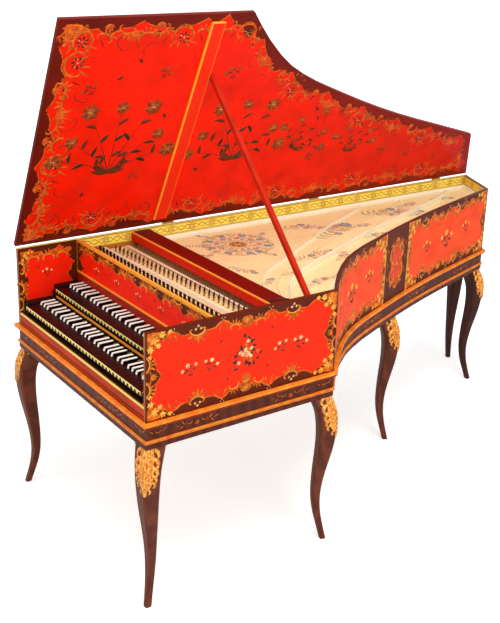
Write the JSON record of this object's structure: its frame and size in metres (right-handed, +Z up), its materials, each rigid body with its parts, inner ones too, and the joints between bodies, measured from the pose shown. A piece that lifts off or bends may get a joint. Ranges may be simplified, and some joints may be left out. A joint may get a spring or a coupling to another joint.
{
  "type": "harpsichord",
  "caption": "Two-manual harpsichord in a lacquered case on a cabriole stand, with its lid propped open on a stick, sliding registers and tilting keys.",
  "frame": {"origin": "on the floor under the middle of the object's box", "axes": "+Z up, +Y from the player to the tail, +X from the bass side to the treble side"},
  "size_m": [0.9824, 2.319, 1.7849],
  "materials": {
    "case_lacquer": "red lacquer with gilt ornament",
    "stand_wood": "dark stained and polished, parcel gilt",
    "soundboard_wood": "bare softwood painted with flowers",
    "bridge_wood": "pale polished hardwood",
    "jack_wood": "bare fruitwood",
    "raw_wood": "bare planed wood",
    "natural_keys": "polished dark covers",
    "sharp_keys": "polished bone covers",
    "string_wire": "drawn wire",
    "gilt_metal": "gilt cast metal",
    "hinge_brass": "polished"
  },
  "bodies": {
    "root": {"bottom_board": "raw_wood", "spine": "case_lacquer", "cheek": "case_lacquer", "bentside": "case_lacquer", "tail": "case_lacquer", "lip_board": "case_lacquer", "belly_rail": "raw_wood", "wrestplank": "soundboard_wood", "nameboard": "case_lacquer", "soundboard": "soundboard_wood", "rose": "gilt_metal", "bridge_8ft": "bridge_wood", "bridge_4ft": "bridge_wood", "nut_8ft": "bridge_wood", "nut_4ft": "bridge_wood", "hitchpin_rail": "bridge_wood", "strings_8ft": "string_wire", "strings_4ft": "string_wire", "lower_keyframe": "raw_wood", "stand_frame": "stand_wood", "leg_front_bass": "stand_wood", "leg_front_treble": "stand_wood", "leg_cheek": "stand_wood", "leg_bentside": "stand_wood", "leg_tail_treble": "stand_wood", "leg_tail_bass": "stand_wood", "lid_hinge_1_case_leaf": "hinge_brass", "lid_hinge_2_case_leaf": "hinge_brass", "lid_hinge_3_case_leaf": "hinge_brass"},
    "upper_manual": {"upper_keyframe": "case_lacquer"},
    "upper_keys": {"upper_keys": "natural_keys"},
    "lower_keys_bass": {"lower_keys_bass": "natural_keys"},
    "lower_keys_treble": {"lower_keys_treble": "natural_keys"},
    "lower_key_c": {"lower_key_c": "natural_keys"},
    "lower_key_c_sharp": {"lower_key_c_sharp": "sharp_keys"},
    "lower_key_d": {"lower_key_d": "natural_keys"},
    "lower_key_d_sharp": {"lower_key_d_sharp": "sharp_keys"},
    "lower_key_e": {"lower_key_e": "natural_keys"},
    "lower_key_f": {"lower_key_f": "natural_keys"},
    "lower_key_f_sharp": {"lower_key_f_sharp": "sharp_keys"},
    "lower_key_g": {"lower_key_g": "natural_keys"},
    "lower_key_g_sharp": {"lower_key_g_sharp": "sharp_keys"},
    "lower_key_a": {"lower_key_a": "natural_keys"},
    "lower_key_a_sharp": {"lower_key_a_sharp": "sharp_keys"},
    "lower_key_b": {"lower_key_b": "natural_keys"},
    "register_front_8ft": {"register_front_8ft": "jack_wood"},
    "register_4ft": {"register_4ft": "jack_wood"},
    "register_back_8ft": {"register_back_8ft": "jack_wood"},
    "jack_rail": {"jack_rail": "case_lacquer"},
    "lid": {"lid": "case_lacquer", "lid_hinge_1_lid_leaf": "hinge_brass", "lid_hinge_2_lid_leaf": "hinge_brass", "lid_hinge_3_lid_leaf": "hinge_brass", "flap_hinge_1_lid_leaf": "hinge_brass", "flap_hinge_2_lid_leaf": "hinge_brass"},
    "lid_flap": {"lid_flap": "case_lacquer", "flap_hinge_1_flap_leaf": "hinge_brass", "flap_hinge_2_flap_leaf": "hinge_brass"},
    "lid_stick": {"lid_stick": "case_lacquer"}
  },
  "joints": [
    {"name": "upper_manual_shove", "type": "slide", "parent": "root", "child": "upper_manual", "axis": [0, -1, 0], "range_m": [0, 0.006]},
    {"name": "upper_keys_dip", "type": "hinge", "parent": "upper_manual", "child": "upper_keys", "pos_m": [0.00218, -0.85854, 0.7613], "axis": [1, 0, 0], "range_deg": [0, 2.4], "stiffness_Nm_per_rad": 60, "springref_deg": -1.15},
    {"name": "lower_keys_bass_dip", "type": "hinge", "parent": "root", "child": "lower_keys_bass", "pos_m": [0.00218, -0.92354, 0.7163], "axis": [1, 0, 0], "range_deg": [0, 2.1], "stiffness_Nm_per_rad": 40, "springref_deg": -1.15},
    {"name": "lower_keys_treble_dip", "type": "hinge", "parent": "root", "child": "lower_keys_treble", "pos_m": [0.00218, -0.92354, 0.7163], "axis": [1, 0, 0], "range_deg": [0, 2.1], "stiffness_Nm_per_rad": 50, "springref_deg": -1.15},
    {"name": "lower_key_c_dip", "type": "hinge", "parent": "root", "child": "lower_key_c", "pos_m": [0.00218, -0.92354, 0.7163], "axis": [1, 0, 0], "range_deg": [0, 2.1], "stiffness_Nm_per_rad": 3, "springref_deg": -1.15},
    {"name": "lower_key_c_sharp_dip", "type": "hinge", "parent": "root", "child": "lower_key_c_sharp", "pos_m": [0.00218, -0.92354, 0.7163], "axis": [1, 0, 0], "range_deg": [0, 2.1], "stiffness_Nm_per_rad": 3, "springref_deg": -1.15},
    {"name": "lower_key_d_dip", "type": "hinge", "parent": "root", "child": "lower_key_d", "pos_m": [0.00218, -0.92354, 0.7163], "axis": [1, 0, 0], "range_deg": [0, 2.1], "stiffness_Nm_per_rad": 3, "springref_deg": -1.15},
    {"name": "lower_key_d_sharp_dip", "type": "hinge", "parent": "root", "child": "lower_key_d_sharp", "pos_m": [0.00218, -0.92354, 0.7163], "axis": [1, 0, 0], "range_deg": [0, 2.1], "stiffness_Nm_per_rad": 3, "springref_deg": -1.15},
    {"name": "lower_key_e_dip", "type": "hinge", "parent": "root", "child": "lower_key_e", "pos_m": [0.00218, -0.92354, 0.7163], "axis": [1, 0, 0], "range_deg": [0, 2.1], "stiffness_Nm_per_rad": 3, "springref_deg": -1.15},
    {"name": "lower_key_f_dip", "type": "hinge", "parent": "root", "child": "lower_key_f", "pos_m": [0.00218, -0.92354, 0.7163], "axis": [1, 0, 0], "range_deg": [0, 2.1], "stiffness_Nm_per_rad": 3, "springref_deg": -1.15},
    {"name": "lower_key_f_sharp_dip", "type": "hinge", "parent": "root", "child": "lower_key_f_sharp", "pos_m": [0.00218, -0.92354, 0.7163], "axis": [1, 0, 0], "range_deg": [0, 2.1], "stiffness_Nm_per_rad": 3, "springref_deg": -1.15},
    {"name": "lower_key_g_dip", "type": "hinge", "parent": "root", "child": "lower_key_g", "pos_m": [0.00218, -0.92354, 0.7163], "axis": [1, 0, 0], "range_deg": [0, 2.1], "stiffness_Nm_per_rad": 3, "springref_deg": -1.15},
    {"name": "lower_key_g_sharp_dip", "type": "hinge", "parent": "root", "child": "lower_key_g_sharp", "pos_m": [0.00218, -0.92354, 0.7163], "axis": [1, 0, 0], "range_deg": [0, 2.1], "stiffness_Nm_per_rad": 3, "springref_deg": -1.15},
    {"name": "lower_key_a_dip", "type": "hinge", "parent": "root", "child": "lower_key_a", "pos_m": [0.00218, -0.92354, 0.7163], "axis": [1, 0, 0], "range_deg": [0, 2.1], "stiffness_Nm_per_rad": 3, "springref_deg": -1.15},
    {"name": "lower_key_a_sharp_dip", "type": "hinge", "parent": "root", "child": "lower_key_a_sharp", "pos_m": [0.00218, -0.92354, 0.7163], "axis": [1, 0, 0], "range_deg": [0, 2.1], "stiffness_Nm_per_rad": 3, "springref_deg": -1.15},
    {"name": "lower_key_b_dip", "type": "hinge", "parent": "root", "child": "lower_key_b", "pos_m": [0.00218, -0.92354, 0.7163], "axis": [1, 0, 0], "range_deg": [0, 2.1], "stiffness_Nm_per_rad": 3, "springref_deg": -1.15},
    {"name": "register_front_8ft_slide", "type": "slide", "parent": "root", "child": "register_front_8ft", "axis": [1, 0, 0], "range_m": [-0.0015, 0.0015]},
    {"name": "register_4ft_slide", "type": "slide", "parent": "root", "child": "register_4ft", "axis": [1, 0, 0], "range_m": [-0.0015, 0.0015]},
    {"name": "register_back_8ft_slide", "type": "slide", "parent": "root", "child": "register_back_8ft", "axis": [1, 0, 0], "range_m": [-0.0015, 0.0015]},
    {"name": "jack_rail_lift", "type": "hinge", "parent": "root", "child": "jack_rail", "pos_m": [-0.44807, -0.64104, 0.9353], "axis": [0, -1, 0], "range_deg": [0, 40]},
    {"name": "lid_hinge", "type": "hinge", "parent": "root", "child": "lid", "pos_m": [-0.46782, -0.00054, 0.9408], "axis": [0, -1, 0], "range_deg": [-63.4, 0]},
    {"name": "lid_flap_fold", "type": "hinge", "parent": "lid", "child": "lid_flap", "pos_m": [-0.3057, -0.58254, 1.30697], "axis": [-0.4478, 0, -0.8942], "range_deg": [0, 178]},
    {"name": "lid_stick_swing", "type": "hinge", "parent": "root", "child": "lid_stick", "pos_m": [0.48218, -0.51754, 0.975], "axis": [0, -1, 0], "range_deg": [-223.29, 0]}
  ],
  "couplings": [
    {"joint": "lid_stick_swing", "follows": "lid_hinge", "ratio": 3.522}
  ]
}
